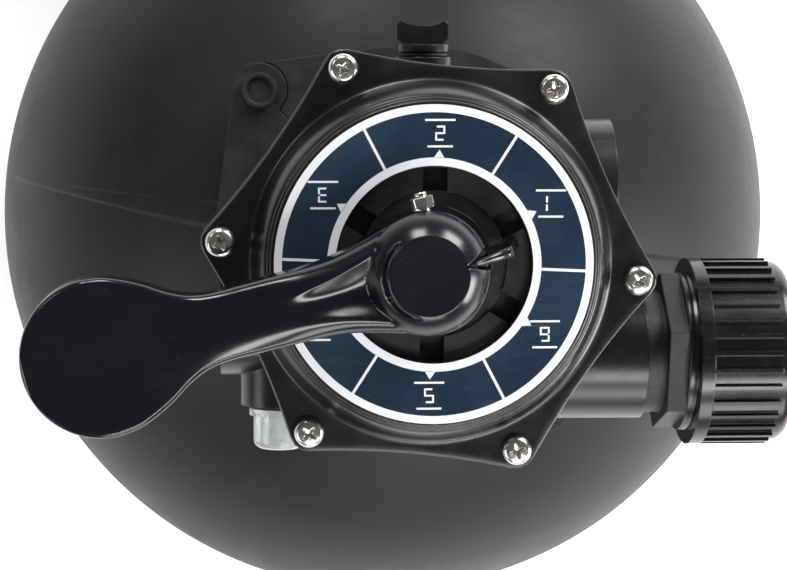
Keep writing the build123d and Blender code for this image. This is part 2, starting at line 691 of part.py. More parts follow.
for turn in range(8):
    spoke = Plane((0, 0, lateral_z), x_dir=(0, 0, 1), z_dir=(*polar(1, 45 * turn), 0))
    with BuildPart() as lateral:
        ring(spoke.offset(lateral_start), (0, 0), lateral_r, 0, lateral_end - lateral_start)
        ring(spoke.offset(lateral_start), (0, 0), lateral_r - 2, 0, lateral_end - lateral_start - 3, Mode.SUBTRACT)
        with BuildSketch(Plane(spoke.from_local_coords(Vector(0, 0, 70)), x_dir=spoke.z_dir, z_dir=spoke.y_dir)):
            with GridLocations(5, 1, 11, 1):
                Rectangle(1, 12)
        extrude(amount=12, both=True, mode=Mode.SUBTRACT)
    laterals.append(lateral)
with BuildPart() as air_tube:
    ring(Plane.XY.offset(lateral_z + hub_half), air_tube_at, 3, 1.8, diffuser_z - 8 - lateral_z - hub_half)
with BuildPart() as sand_bed:
    ball(tank_r - wall - 0.4)
    ring(Plane.XY.offset(sand_top), (0, 0), tank_r, 0, 200, Mode.SUBTRACT)
    ring(Plane.XY.offset(lateral_z - hub_half - 0.3), (0, 0), hub_radius + 0.3, 0, 2 * hub_half + 0.6, Mode.SUBTRACT)
    ring(Plane.XY.offset(lateral_z), (0, 0), pipe_r + 0.3, 0, sand_top, Mode.SUBTRACT)
    ring(Plane.XY.offset(lateral_z), air_tube_at, 3.3, 0, sand_top, Mode.SUBTRACT)
    ring(Plane.XZ.offset(105), drain_axis, 16.6, 0, 90, Mode.SUBTRACT)
    for turn in range(8):
        spoke = Plane((0, 0, lateral_z), z_dir=(*polar(1, 45 * turn), 0))
        ring(spoke.offset(20), (0, 0), lateral_r + 0.3, 0, lateral_end - 19.7, Mode.SUBTRACT)

# ---- One file for each piece ----
pieces = {
    "tank_shell": tank_shell,
    "base_stand": base_stand,
    "neck_oring": neck_oring,
    "clamp_half_pin_side": clamp_half_pin_side,
    "clamp_half_knob_side": clamp_half_knob_side,
    "clamp_hinge_pin": clamp_hinge_pin,
    "closing_bolt": closing_bolt,
    "knob_washer": knob_washer,
    "clamp_knob": clamp_knob,
    "valve_body": valve_body,
    "valve_lid": valve_lid,
    "lid_oring": lid_oring,
    "dial_label": dial_label,
    "lid_screws": lid_screws,
    "lid_nuts": lid_nuts,
    "spider_gasket": spider_gasket,
    "rotor": rotor,
    "stem": stem,
    "stem_orings": stem_orings,
    "rotor_spring": rotor_spring,
    "slip_washer": slip_washer,
    "handle": handle,
    "pivot_bolt": pivot_bolt,
    "pivot_nut": pivot_nut,
    "bleed_plug": bleed_plug,
    "bleed_oring": bleed_oring,
    "sight_glass": sight_glass,
    "sight_glass_oring": sight_glass_oring,
    "union_adaptor": union_adaptor,
    "union_oring": union_oring,
    "union_tailpiece": union_tailpiece,
    "union_slip_ring": union_slip_ring,
    "union_nut": union_nut,
    "drain_spigot": drain_spigot,
    "drain_strainer": drain_strainer,
    "drain_gasket": drain_gasket,
    "drain_cap": drain_cap,
    "diffuser": diffuser,
    "standpipe": standpipe,
    "lateral_hub": lateral_hub,
    "air_tube": air_tube,
    "sand_bed": sand_bed,
}
pieces.update({f"lateral_{number}": lateral for number, lateral in enumerate(laterals, 1)})
os.makedirs("parts", exist_ok=True)
for name, piece in pieces.items():
    piece.part.label = name
    export_step(piece.part, f"parts/{name}.step")
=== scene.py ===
"""Sand filter tank with a six-way top valve: the finish and the fine shapes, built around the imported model."""

import json
import math

import bmesh
import bpy
import numpy as np
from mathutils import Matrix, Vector


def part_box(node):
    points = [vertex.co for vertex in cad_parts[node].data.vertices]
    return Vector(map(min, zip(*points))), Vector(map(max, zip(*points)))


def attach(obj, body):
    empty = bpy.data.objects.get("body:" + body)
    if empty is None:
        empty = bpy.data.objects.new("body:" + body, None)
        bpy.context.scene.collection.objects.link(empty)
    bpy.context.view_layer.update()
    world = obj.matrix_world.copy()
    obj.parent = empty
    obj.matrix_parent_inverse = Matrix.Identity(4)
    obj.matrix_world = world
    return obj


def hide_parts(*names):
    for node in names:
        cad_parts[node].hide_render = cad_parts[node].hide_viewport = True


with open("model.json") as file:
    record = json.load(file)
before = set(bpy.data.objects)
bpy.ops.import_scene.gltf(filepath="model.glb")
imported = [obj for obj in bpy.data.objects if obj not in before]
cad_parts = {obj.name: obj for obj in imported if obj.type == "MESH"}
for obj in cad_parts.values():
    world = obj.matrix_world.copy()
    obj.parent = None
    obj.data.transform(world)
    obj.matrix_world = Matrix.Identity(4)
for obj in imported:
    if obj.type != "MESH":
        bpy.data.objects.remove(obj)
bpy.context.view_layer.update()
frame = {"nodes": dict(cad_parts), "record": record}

MM = 0.001

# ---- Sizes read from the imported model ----
tank_low, tank_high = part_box("tank_shell")
lid_low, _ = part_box("valve_lid")
label_low, label_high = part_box("dial_label")
nut_low, nut_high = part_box("union_nut")
_, adaptor_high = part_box("union_adaptor")

tank_radius = tank_high[0]
tank_centre_z = tank_low[2] + tank_radius
neck_top_z = tank_high[2]
lid_bottom_z = lid_low[2]
label_z = label_low[2]
screw_plane_z = label_z - 17 * MM  # the flat under the screw heads
pump_axis_y = (nut_low[1] + nut_high[1]) / 2
port_z = (nut_low[2] + nut_high[2]) / 2

screw_circle = 85 * MM
screw_bearing = math.radians(-5.4)
arm_bearing = math.radians(194.3)


# ---- Shape helpers ----
def grid_faces(rows, columns, close_rows=False, close_columns=True):
    """Quads of a grid of points stored row by row, joined round where a direction closes."""
    row = np.arange(rows if close_rows else rows - 1)
    column = np.arange(columns if close_columns else columns - 1)
    r, c = np.meshgrid(row, column, indexing="ij")
    r_next, c_next = (r + 1) % rows, (c + 1) % columns
    corners = (r * columns + c, r * columns + c_next, r_next * columns + c_next, r_next * columns + c)
    return np.stack(corners, axis=-1).reshape(-1, 4)


def add_piece(name, points, faces, material, body, smooth_angle=40.0):
    """One closed mesh from a point array and a quad array, welded where points meet, riding on a body."""
    mesh = bpy.data.meshes.new(name)
    mesh.from_pydata(np.asarray(points, float).reshape(-1, 3).tolist(), [], np.asarray(faces).tolist())
    work = bmesh.new()
    work.from_mesh(mesh)
    bmesh.ops.remove_doubles(work, verts=work.verts, dist=2e-6)
    bmesh.ops.recalc_face_normals(work, faces=work.faces)
    work.to_mesh(mesh)
    work.free()
    mesh.shade_smooth()
    mesh.set_sharp_from_angle(angle=math.radians(smooth_angle))
    mesh.materials.append(material)
    piece = bpy.data.objects.new(name, mesh)
    bpy.context.collection.objects.link(piece)
    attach(piece, body)
    return piece


def turned(profile, segments=96, centre=(0, 0, 0), axis="z"):
    """A profile of (radius, height) points carried round an axis: each point traces a circle of its radius."""
    profile = np.asarray(profile, float)
    turn = np.linspace(0, 2 * np.pi, segments, endpoint=False)
    radius, height = profile[:, 0][:, None], profile[:, 1][:, None]
    across, up = radius * np.cos(turn), radius * np.sin(turn)
    along = np.broadcast_to(height, across.shape)
    order = {"z": (across, up, along), "x": (along, across, up), "y": (across, along, up)}[axis]
    return np.stack(order, axis=-1) + np.asarray(centre, float)


def smooth_through(x, knots, values):
    """A cubic curve through the knots, with each slope taken from the neighbouring knots."""
    knots, values = np.asarray(knots, float), np.asarray(values, float)
    slopes = np.gradient(values, knots)
    k = np.clip(np.searchsorted(knots, x) - 1, 0, len(knots) - 2)
    step = knots[k + 1] - knots[k]
    t = np.clip((x - knots[k]) / step, 0, 1)
    a, b = (1 + 2 * t) * (1 - t) ** 2, t * (1 - t) ** 2
    c, d = t * t * (3 - 2 * t), t * t * (t - 1)
    return a * values[k] + b * step * slopes[k] + c * values[k + 1] + d * step * slopes[k + 1]


def ease(x, low, high):
    """0 below low, 1 above high and an S-curve between."""
    t = np.clip((x - low) / (high - low), 0, 1)
    return t * t * (3 - 2 * t)


def blend_max(a, b, softness):
    """The larger of two heights, with the crease between them rounded."""
    h = np.clip(0.5 + 0.5 * (a - b) / softness, 0, 1)
    return b * (1 - h) + a * h + softness * h * (1 - h)


def arc(centre, radius, first, last, count):
    """Points on a circle between two bearings in degrees."""
    turn = np.radians(np.linspace(first, last, count))
    return np.stack([centre[0] + radius * np.cos(turn), centre[1] + radius * np.sin(turn)], axis=-1)


# ---- Finish helpers ----
def new_material(name):
    """A node material with its parts at hand, reading Object coordinates."""
    material = bpy.data.materials.new(name)
    material.use_nodes = True
    nodes, links = material.node_tree.nodes, material.node_tree.links
    shader = nodes["Principled BSDF"]
    coords = nodes.new("ShaderNodeTexCoord")
    return material, nodes, links, shader, coords.outputs["Object"]


def noise(nodes, links, coords, scale, stretch=(1, 1, 1), turn=(0, 0, 0), detail=4.0, roughness=0.55):
    """Cloud noise, its pattern turned and drawn out along the axes."""
    mapping = nodes.new("ShaderNodeMapping")
    mapping.inputs["Scale"].default_value = stretch
    mapping.inputs["Rotation"].default_value = turn
    links.new(coords, mapping.inputs["Vector"])
    texture = nodes.new("ShaderNodeTexNoise")
    texture.inputs["Scale"].default_value = scale
    texture.inputs["Detail"].default_value = detail
    texture.inputs["Roughness"].default_value = roughness
    links.new(mapping.outputs["Vector"], texture.inputs["Vector"])
    return texture.outputs["Fac"]


def ramp(nodes, links, value, low, high, out_low=0.0, out_high=1.0):
    """Values between low and high spread from out_low to out_high."""
    spread = nodes.new("ShaderNodeMapRange")
    for key, number in (("From Min", low), ("From Max", high), ("To Min", out_low), ("To Max", out_high)):
        spread.inputs[key].default_value = number
    links.new(value, spread.inputs["Value"])
    return spread.outputs["Result"]


def combine(nodes, links, operation, a, b):
    """One sum, product or other operation on two values."""
    node = nodes.new("ShaderNodeMath")
    node.operation = operation
    for socket, value in zip(node.inputs, (a, b)):
        if isinstance(value, (int, float)):
            socket.default_value = value
        else:
            links.new(value, socket)
    return node.outputs["Value"]


def mix_colours(nodes, links, factor, first, second):
    """Two colours, or a colour over a colour socket, mixed by a factor."""
    node = nodes.new("ShaderNodeMix")
    node.data_type = "RGBA"
    links.new(factor, node.inputs["Factor"])
    for socket, colour in ((node.inputs["A"], first), (node.inputs["B"], second)):
        if isinstance(colour, tuple):
            socket.default_value = (*colour, 1)
        else:
            links.new(colour, socket)
    return node.outputs["Result"]


def rounded_bump(nodes, links, shader, height, strength, distance, edge_radius):
    """Fine relief on top of slightly rounded edges."""
    bump = nodes.new("ShaderNodeBump")
    bump.inputs["Strength"].default_value = strength
    bump.inputs["Distance"].default_value = distance
    links.new(height, bump.inputs["Height"])
    if edge_radius:
        bevel = nodes.new("ShaderNodeBevel")
        bevel.samples = 4
        bevel.inputs["Radius"].default_value = edge_radius
        links.new(bevel.outputs["Normal"], bump.inputs["Normal"])
    links.new(bump.outputs["Normal"], shader.inputs["Normal"])


def moulded_plastic(name, colour, worn, roughness, dust=0.25, specks=0.3, grain=700.0, relief=0.06,
                    edge_radius=0.0, streak=(1, 1, 9), streak_turn=(0.2, 0.5, 0.3), streak_amount=0.4,
                    gloss=0.5):
    """Moulded plastic: a base tone that clouds a little, dust, scuff streaks, pale specks and a fine grain."""
    material, nodes, links, shader, coords = new_material(name)
    cloud = ramp(nodes, links, noise(nodes, links, coords, 14.0), 0.35, 0.7)
    dusty = ramp(nodes, links, noise(nodes, links, coords, 60.0, detail=8.0, roughness=0.7), 0.45, 0.75, 0.0, dust)
    streaks = ramp(nodes, links, noise(nodes, links, coords, 90.0, streak, streak_turn, 3.0), 0.5, 0.72, 0.0,
                   streak_amount)
    speck = ramp(nodes, links, noise(nodes, links, coords, 900.0, detail=1.0), 0.73, 0.78, 0.0, specks)
    wear = combine(nodes, links, "ADD", combine(nodes, links, "MULTIPLY", cloud, 0.35), dusty)
    wear = combine(nodes, links, "ADD", wear, combine(nodes, links, "MULTIPLY", streaks, 0.6))
    tone = mix_colours(nodes, links, wear, colour, worn)
    shader.inputs["Specular IOR Level"].default_value = gloss
    tone = mix_colours(nodes, links, speck, tone, tuple(min(1.0, 3.2 * c + 0.05) for c in worn))
    links.new(tone, shader.inputs["Base Color"])
    rough = combine(nodes, links, "ADD", combine(nodes, links, "MULTIPLY", wear, 0.22), roughness)
    rough = combine(nodes, links, "ADD", rough, combine(nodes, links, "MULTIPLY", speck, 0.3))
    links.new(rough, shader.inputs["Roughness"])
    fine = noise(nodes, links, coords, grain, detail=2.0)
    height = combine(nodes, links, "ADD", fine, combine(nodes, links, "MULTIPLY", streaks, 0.5))
    rounded_bump(nodes, links, shader, height, relief, 0.0004, edge_radius)
    return material


def stainless_steel(name, edge_radius=0.0003):
    """Bright steel with fine brushing and faint stains."""
    material, nodes, links, shader, coords = new_material(name)
    shader.inputs["Metallic"].default_value = 1.0
    brush = noise(nodes, links, coords, 1500.0, (1, 1, 0.2), detail=2.0)
    stain = ramp(nodes, links, noise(nodes, links, coords, 260.0), 0.45, 0.75)
    links.new(mix_colours(nodes, links, stain, (0.72, 0.70, 0.67), (0.50, 0.46, 0.41)), shader.inputs["Base Color"])
    links.new(ramp(nodes, links, stain, 0, 1, 0.2, 0.42), shader.inputs["Roughness"])
    rounded_bump(nodes, links, shader, brush, 0.05, 0.0002, edge_radius)
    return material


def soft_rubber(name):
    """Black rubber with a faint bloom."""
    material, nodes, links, shader, coords = new_material(name)
    bloom = ramp(nodes, links, noise(nodes, links, coords, 120.0), 0.4, 0.75)
    links.new(mix_colours(nodes, links, bloom, (0.012, 0.012, 0.012), (0.035, 0.034, 0.032)),
              shader.inputs["Base Color"])
    links.new(ramp(nodes, links, bloom, 0, 1, 0.5, 0.75), shader.inputs["Roughness"])
    rounded_bump(nodes, links, shader, noise(nodes, links, coords, 1200.0), 0.08, 0.0003, 0.0)
    return material


def clear_moulding(name):
    """Clear plastic with a faint haze."""
    material, nodes, links, shader, coords = new_material(name)
    shader.inputs["Transmission Weight"].default_value = 0.72
    shader.inputs["IOR"].default_value = 1.5
    haze = ramp(nodes, links, noise(nodes, links, coords, 240.0), 0.4, 0.7)
    links.new(mix_colours(nodes, links, haze, (0.93, 0.95, 0.95), (0.80, 0.82, 0.82)), shader.inputs["Base Color"])
    links.new(ramp(nodes, links, haze, 0, 1, 0.06, 0.2), shader.inputs["Roughness"])
    rounded_bump(nodes, links, shader, noise(nodes, links, coords, 500.0), 0.04, 0.0003, 0.0006)
    return material


def loose_sand(name):
    """Washed filter sand: grains of several tones with a coarse relief."""
    material, nodes, links, shader, coords = new_material(name)
    grains = noise(nodes, links, coords, 1400.0, detail=2.0)
    links.new(mix_colours(nodes, links, grains, (0.42, 0.33, 0.22), (0.78, 0.70, 0.56)), shader.inputs["Base Color"])
    shader.inputs["Roughness"].default_value = 0.9
    rounded_bump(nodes, links, shader, grains, 0.6, 0.0008, 0.0)
    return material


def printed_film(name, colour, pale, roughness):
    """Printed label film: an even ink with slight clouding under a glossy face with rubbed patches."""
    material, nodes, links, shader, coords = new_material(name)
    cloud = ramp(nodes, links, noise(nodes, links, coords, 30.0, detail=6.0), 0.4, 0.75)
    links.new(mix_colours(nodes, links, cloud, colour, pale), shader.inputs["Base Color"])
    rubbed = ramp(nodes, links, noise(nodes, links, coords, 70.0, (1, 4, 1), (0, 0, 0.6)), 0.45, 0.8)
    links.new(ramp(nodes, links, rubbed, 0, 1, roughness, roughness + 0.15), shader.inputs["Roughness"])
    rounded_bump(nodes, links, shader, noise(nodes, links, coords, 400.0), 0.03, 0.0002, 0.0)
    return material


tank_finish = moulded_plastic("tank_finish", (0.0095, 0.0088, 0.0092), (0.022, 0.0205, 0.021), 0.42, dust=0.3,
                              specks=0.08, relief=0.05, streak=(1, 1, 14), streak_turn=(0.9, 0.5, 0.2), gloss=0.2)
stand_finish = moulded_plastic("stand_finish", (0.013, 0.013, 0.0135), (0.036, 0.035, 0.034), 0.45, dust=0.4,
                               edge_radius=0.0012)
clamp_finish = moulded_plastic("clamp_finish", (0.0065, 0.0058, 0.0060), (0.036, 0.033, 0.033), 0.58, dust=0.85,
                               specks=0.2, relief=0.2, edge_radius=0.0012, streak=(1, 1, 3))
valve_finish = moulded_plastic("valve_finish", (0.0045, 0.0045, 0.0048), (0.020, 0.0195, 0.0195), 0.25, dust=0.2,
                               specks=0.2, edge_radius=0.0008)
lid_finish = moulded_plastic("lid_finish", (0.0042, 0.0042, 0.0045), (0.017, 0.0165, 0.0165), 0.24, dust=0.2,
                             specks=0.2, relief=0.05)
index_finish = moulded_plastic("index_finish", (0.0060, 0.0056, 0.0053), (0.034, 0.031, 0.029), 0.40, dust=0.5,
                               specks=0.5, relief=0.12)
handle_finish = moulded_plastic("handle_finish", (0.0032, 0.0036, 0.0050), (0.0115, 0.0130, 0.0170), 0.14, dust=0.12,
                                specks=0.12, relief=0.02, grain=400.0, streak=(1, 9, 1), streak_amount=0.25)
union_finish = moulded_plastic("union_finish", (0.0045, 0.0045, 0.0048), (0.021, 0.021, 0.0215), 0.2, dust=0.18,
                               specks=0.3, relief=0.03, edge_radius=0.0006)
collar_finish = moulded_plastic("collar_finish", (0.0045, 0.0043, 0.0042), (0.018, 0.0172, 0.0168), 0.45, dust=0.5,
                                specks=0.2, relief=0.12, edge_radius=0.001)
inner_finish = moulded_plastic("inner_finish", (0.62, 0.62, 0.58), (0.48, 0.46, 0.41), 0.4, dust=0.5, specks=0.1,
                               edge_radius=0.0004)
rotor_finish = moulded_plastic("rotor_finish", (0.52, 0.52, 0.50), (0.38, 0.36, 0.33), 0.3, dust=0.3, specks=0.1,
                               edge_radius=0.0004)
film_finish = printed_film("film_finish", (0.0105, 0.023, 0.041), (0.022, 0.042, 0.066), 0.2)
ink_finish = printed_film("ink_finish", (0.83, 0.83, 0.85), (0.72, 0.72, 0.75), 0.35)
steel_finish = stainless_steel("steel_finish")
head_finish = stainless_steel("head_finish", 0.0)
seal_finish = soft_rubber("seal_finish")
clear_finish = clear_moulding("clear_finish")
sand_finish = loose_sand("sand_finish")

FINISH_OF_SLOT = {
    "tank_plastic": tank_finish,
    "stand_plastic": stand_finish,
    "clamp_plastic": clamp_finish,
    "valve_plastic": valve_finish,
    "handle_plastic": handle_finish,
    "union_plastic": union_finish,
    "inner_plastic": inner_finish,
    "rotor_plastic": rotor_finish,
    "label_film": film_finish,
    "stainless": steel_finish,
    "seal_rubber": seal_finish,
    "clear_plastic": clear_finish,
    "sand": sand_finish,
}


def finish_frame_nodes():
    """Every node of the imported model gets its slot's finish, but the union's adaptor a duller one."""
    slot_of = {entry["node"]: entry["material_slot"] for entry in frame["record"]["subparts"]}
    for name, node in frame["nodes"].items():
        finish = collar_finish if name == "union_adaptor" else FINISH_OF_SLOT[slot_of[name]]
        if node.data.materials:
            for index in range(len(node.data.materials)):
                node.data.materials[index] = finish
        else:
            node.data.materials.append(finish)


# ---- Tank ----
def tank_skin():
    """The vessel: a ball with a flanged neck, turned round its axis. A band along the mould's parting plane is
    pushed out; its half width shrinks from the neck to the equator, and its edges are S-curves of the distance
    from that plane."""
    wall = 6 * MM
    seam_bearing = math.radians(-7)
    neck_r, bore_r, flange_r = 64 * MM, 57 * MM, 76 * MM
    outer_neck = math.degrees(math.asin(neck_r / tank_radius))
    inner_r = tank_radius - wall
    inner_neck = math.degrees(math.asin(bore_r / inner_r))
    outer = arc((0, tank_centre_z), tank_radius, -90, 90 - outer_neck, 190)
    neck = np.array([(neck_r, neck_top_z - 12 * MM), (66 * MM, neck_top_z - 11 * MM),
                     (flange_r, neck_top_z - 7 * MM), (flange_r, neck_top_z), (bore_r, neck_top_z)])
    inner = arc((0, tank_centre_z), inner_r, 90 - inner_neck, -90, 50)
    profile = np.concatenate([outer, neck, inner])
    segments = 360
    base = np.linspace(0, 2 * np.pi, segments, endpoint=False)
    crowding = 0.368  # draws the columns together near the seam
    turn = base - crowding * np.sin(2 * base) + seam_bearing
    radius, height = profile[:, 0][:, None], profile[:, 1][:, None]
    x, y = radius * np.cos(turn), radius * np.sin(turn)
    z = np.broadcast_to(height, x.shape)
    off_plane = np.abs(-x * math.sin(seam_bearing) + y * math.cos(seam_bearing))
    half_width = 6.2 * MM * (1 - ease(np.broadcast_to(radius, x.shape), 60 * MM, 205 * MM) * 0.9)
    on_outside = np.zeros_like(x)
    on_outside[: len(outer)] = 1
    upper = ease(z, tank_centre_z - 40 * MM, tank_centre_z + 20 * MM)
    raised = 0.9 * MM * (1 - ease(off_plane, half_width * 0.8, half_width * 1.15)) * on_outside
    scale = 1 + raised * (0.4 + 0.6 * upper) * ease(radius, 0, 40 * MM) / tank_radius
    limit = tank_radius / np.maximum(np.hypot(np.hypot(x, y), z - tank_centre_z) * scale, 1e-6)
    scale = np.where(z < tank_centre_z + 60 * MM, scale * np.minimum(1, limit), scale)
    points = np.stack([x * scale, y * scale, tank_centre_z + (z - tank_centre_z) * scale], axis=-1)
    skin = add_piece("tank_skin", points, grid_faces(len(profile), segments), tank_finish, "tank", 60)
    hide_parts("tank_shell")


def drain_boss():
    """The moulded boss that the drain spigot passes through: a turned collar with a rounded rim."""
    low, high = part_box("drain_spigot")
    axis_z = (low[2] + high[2]) / 2
    face_y = low[1] + 18 * MM
    profile = np.array([(16.05, 0), (22.8, 0), (23.7, 0.5), (24, 1.4), (24, 33), (16.05, 33), (16.05, 0)]) * MM
    points = turned(profile, 96, (0, face_y, axis_z), "y")
    add_piece("drain_boss", points, grid_faces(len(profile), 96), tank_finish, "tank")


# ---- Lid ----
NOTCH_BEARING = math.radians(29)
NOTCH_HALF = 4.9 * MM
FLANGE_R = 90 * MM
NOTCH_COLUMNS, LAND_COLUMNS = 6, 26


def lid_outline(bearing):
    """Radius of the six-cornered flange at a bearing: arcs round the screws, and edges that curve in between."""
    corner_r, mid_r = 8 * MM, 79 * MM
    bearings, radii = [], []
    for k in range(6):
        at = screw_bearing + k * math.pi / 3
        corner = np.array([math.cos(at), math.sin(at)]) * screw_circle
        round_turn = at + np.radians(np.linspace(-30, 30, 13))
        tip = corner + corner_r * np.stack([np.cos(round_turn), np.sin(round_turn)], axis=-1)
        following = at + math.pi / 3
        goal = np.array([math.cos(following), math.sin(following)]) * screw_circle
        side = np.array([math.cos(at + math.pi / 6), math.sin(at + math.pi / 6)])
        start, end = tip[-1], goal + corner_r * side
        t = np.linspace(0, 1, 24)[1:-1][:, None]
        sag = (start + end) @ side / 2 - mid_r
        edge = start * (1 - t) + end * t - side * sag * 4 * t * (1 - t)
        points = np.concatenate([tip, edge])
        bearings.append(np.arctan2(points[:, 1], points[:, 0]))
        radii.append(np.hypot(points[:, 0], points[:, 1]))
    bearings, radii = np.concatenate(bearings) % (2 * np.pi), np.concatenate(radii)
    order = np.argsort(bearings)
    return np.interp(bearing % (2 * np.pi), bearings[order], radii[order], period=2 * np.pi)


def lid_columns(radius):
    """Bearings of the lid's columns at a radius. In each sixth, some columns span the notch, whose sides are
    straight lines a fixed distance from its middle, and the rest span the land; two share each notch side."""
    half = math.asin(min(NOTCH_HALF / max(radius, 12 * MM), 0.5))
    sixth = math.pi / 3
    floor = np.linspace(-half, half, NOTCH_COLUMNS)
    land = np.linspace(half, sixth - half, LAND_COLUMNS)
    one = np.concatenate([floor, land])
    return (NOTCH_BEARING + np.arange(6)[:, None] * sixth + one).ravel()


def lid_plate():
    """The lid as one closed surface: rings of points from the flange's edge over the dome, the label seat and the
    notched indexing ring, down the stem's bore and back underneath."""
    on_notch = np.tile(np.concatenate([np.ones(NOTCH_COLUMNS), np.zeros(LAND_COLUMNS)]), 6)
    flat_z, seat_z, land_z, notch_z, recess_z = (screw_plane_z, label_z, label_z - 4.5 * MM, label_z - 9.5 * MM,
                                                 label_z - 6 * MM)
    outer_rings = [(0.0, lid_bottom_z + 0.4 * MM), (0.0, flat_z - 1.2 * MM), (0.15 * MM, flat_z - 0.6 * MM),
                   (0.5 * MM, flat_z - 0.2 * MM), (1.1 * MM, flat_z), (3.5 * MM, flat_z), (6 * MM, flat_z)]
    dome = np.array([(75.4, -17), (74.2, -16.9), (73.2, -16.5), (72.4, -15.7), (71.8, -14.5), (71.2, -12.6),
                     (70.5, -10.2), (69.7, -7.9), (68.8, -5.8), (67.9, -4.1), (67.2, -3.1), (66.8, -2.8),
                     (66.5, -2.7), (66.3, -2.2), (66.0, -1.7), (65.6, -1.5), (65.4, -1.5), (65.2, -0.9),
                     (64.9, -0.35), (64.5, -0.05), (64.2, 0), (50, 0), (39.2, 0), (38.8, -0.15),
                     (38.6, -0.6)]) * MM
    rows = []
    for inset, z in outer_rings:
        bearing = lid_columns(FLANGE_R)
        rows.append((lid_outline(bearing) - inset, bearing, np.full(len(bearing), z)))
    for radius, drop in dome:
        bearing = lid_columns(radius)
        rows.append((np.full(len(bearing), radius), bearing, np.full(len(bearing), seat_z + drop)))
    ring_z = np.where(on_notch > 0, notch_z, land_z)
    for radius in (38.6 * MM, 35.5 * MM, 32.4 * MM, 29.4 * MM):
        bearing = lid_columns(radius)
        rows.append((np.full(len(bearing), radius), bearing, ring_z))
    under = [(29.4, recess_z), (20, recess_z), (12.55, recess_z), (12.55, label_z - 17 * MM),
             (18, label_z - 17 * MM), (18, label_z - 13 * MM), (38, label_z - 13 * MM), (42, label_z - 6.2 * MM),
             (60, label_z - 6.2 * MM), (66.5, label_z - 14 * MM), (66.5, lid_bottom_z)]
    for radius, z in under:
        bearing = lid_columns(radius * MM)
        rows.append((np.full(len(bearing), radius * MM), bearing, np.full(len(bearing), z)))
    bearing = lid_columns(FLANGE_R)
    rows.append((lid_outline(bearing) - 0.4 * MM, bearing, np.full(len(bearing), lid_bottom_z)))
    points = np.stack([np.stack([r * np.cos(b), r * np.sin(b), z], axis=-1) for r, b, z in rows])
    faces = grid_faces(len(rows), points.shape[1], close_rows=True)
    lid = add_piece("lid_plate", points, faces, lid_finish, "tank", 35)
    lid.data.materials.append(index_finish)
    paint_index_ring(lid)
    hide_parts("valve_lid")


def paint_index_ring(lid):
    """The faces inside the label's inner edge take the duller, dusty finish."""
    count = len(lid.data.polygons)
    centres = np.empty(count * 3)
    lid.data.polygons.foreach_get("center", centres)
    centres = centres.reshape(-1, 3)
    inside = np.hypot(centres[:, 0], centres[:, 1]) < 38.55 * MM
    lid.data.polygons.foreach_set("material_index", inside.astype(np.int32))


# ---- Lid screws and the pivot's hardware ----
PIVOT_Z = 583.0


def screw_heads():
    """Six pan heads on their shanks. The height of a head falls with the square of the radius and drops as a quarter
    circle at the rim; the cross recess is cut where a point lies inside four tapering arms, and is deeper inwards."""
    head_r, dome_top, under = 6.2, 549.2, screw_plane_z / MM
    shank_r, shank_bottom, circle = 3.0, 523.0, screw_circle / MM
    radius = np.concatenate([[0.0], np.linspace(0.25, 5.0, 26), np.linspace(5.1, 6.2, 9)])
    turn = np.linspace(0, 2 * np.pi, 96, endpoint=False)
    r, a = np.meshgrid(radius, turn, indexing="ij")
    points, faces, start = [], [], 0
    for k, twist in enumerate((0.65, 0.2, 1.1, 0.45, 0.85, 0.3)):
        x, y = r * np.cos(a - twist), r * np.sin(a - twist)
        long, short = np.maximum(np.abs(x), np.abs(y)), np.minimum(np.abs(x), np.abs(y))
        arm = 0.35 + 0.75 * np.clip(1 - long / 3.3, 0, 1)
        inside = ease(arm - short, -0.12, 0.2) * (1 - ease(long, 3.0, 3.35))
        rim = np.clip((r - 4.2) / 2.0, 0, 1)
        z = dome_top - 1.1 * (r / head_r) ** 2 - 2.64 * (1 - np.sqrt(1 - rim ** 2))
        z = z - inside * (0.9 + 1.1 * np.clip(1 - long / 3.3, 0, 1))
        lower = [(head_r, under), (shank_r, under), (shank_r, shank_bottom), (0.0, shank_bottom)]
        rows_r = np.concatenate([r] + [np.full_like(r[:1], q) for q, _ in lower])
        rows_z = np.concatenate([z] + [np.full_like(z[:1], h) for _, h in lower])
        rows_a = np.concatenate([a] + [a[:1]] * 4)
        at = screw_bearing + k * math.pi / 3
        block = np.stack([rows_r * np.cos(rows_a) + circle * math.cos(at),
                          rows_r * np.sin(rows_a) + circle * math.sin(at), rows_z], axis=-1) * MM
        points.append(block.reshape(-1, 3))
        faces.append(grid_faces(len(rows_r), 96) + start)
        start += block.shape[0] * 96
    heads = add_piece("screw_heads", np.concatenate(points), np.concatenate(faces), head_finish, "tank",
                      38)
    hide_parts("lid_screws")


